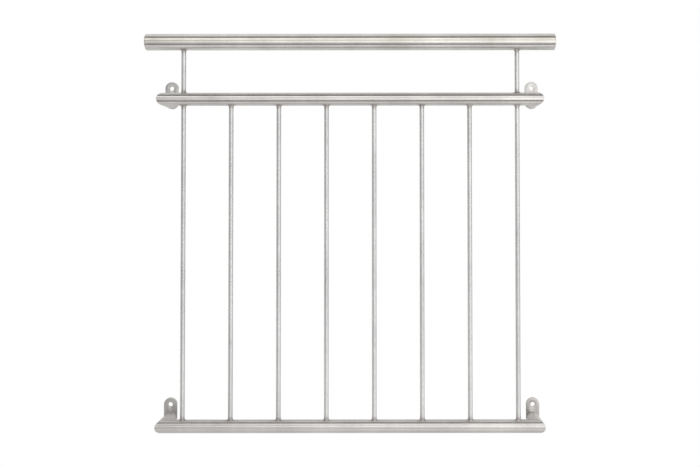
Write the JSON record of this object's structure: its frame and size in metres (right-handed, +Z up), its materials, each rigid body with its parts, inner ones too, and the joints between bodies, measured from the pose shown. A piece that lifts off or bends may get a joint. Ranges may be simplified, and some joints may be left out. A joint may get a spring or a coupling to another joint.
{
  "type": "juliet balcony railing",
  "caption": "Welded railing of round tube with upright round bars and a raised handrail, bolted flat to a wall by lugs at its corners.",
  "frame": {"origin": "on the wall plane, at the middle of the lower left lug's back face, on the axis of the lower left return tube", "axes": "+X runs along the rails to the right as seen from outside, +Y points into the wall, +Z is up"},
  "size_m": [1.0629, 0.0962, 1.0327],
  "materials": {
    "brushed_stainless": "240 grit brushed",
    "weld_bead": "cleaned weld"
  },
  "bodies": {
    "root": {"handrail_tube": "brushed_stainless", "handrail_caps": "brushed_stainless", "upper_rail": "brushed_stainless", "lower_rail": "brushed_stainless", "return_upper_left": "brushed_stainless", "return_upper_right": "brushed_stainless", "return_lower_left": "brushed_stainless", "return_lower_right": "brushed_stainless", "wall_lug_upper_left": "brushed_stainless", "wall_lug_upper_right": "brushed_stainless", "wall_lug_lower_left": "brushed_stainless", "wall_lug_lower_right": "brushed_stainless", "end_post_left": "brushed_stainless", "end_post_right": "brushed_stainless", "infill_bar_1": "brushed_stainless", "infill_bar_2": "brushed_stainless", "infill_bar_3": "brushed_stainless", "infill_bar_4": "brushed_stainless", "infill_bar_5": "brushed_stainless", "infill_bar_6": "brushed_stainless", "return_welds": "weld_bead"}
  },
  "joints": []
}
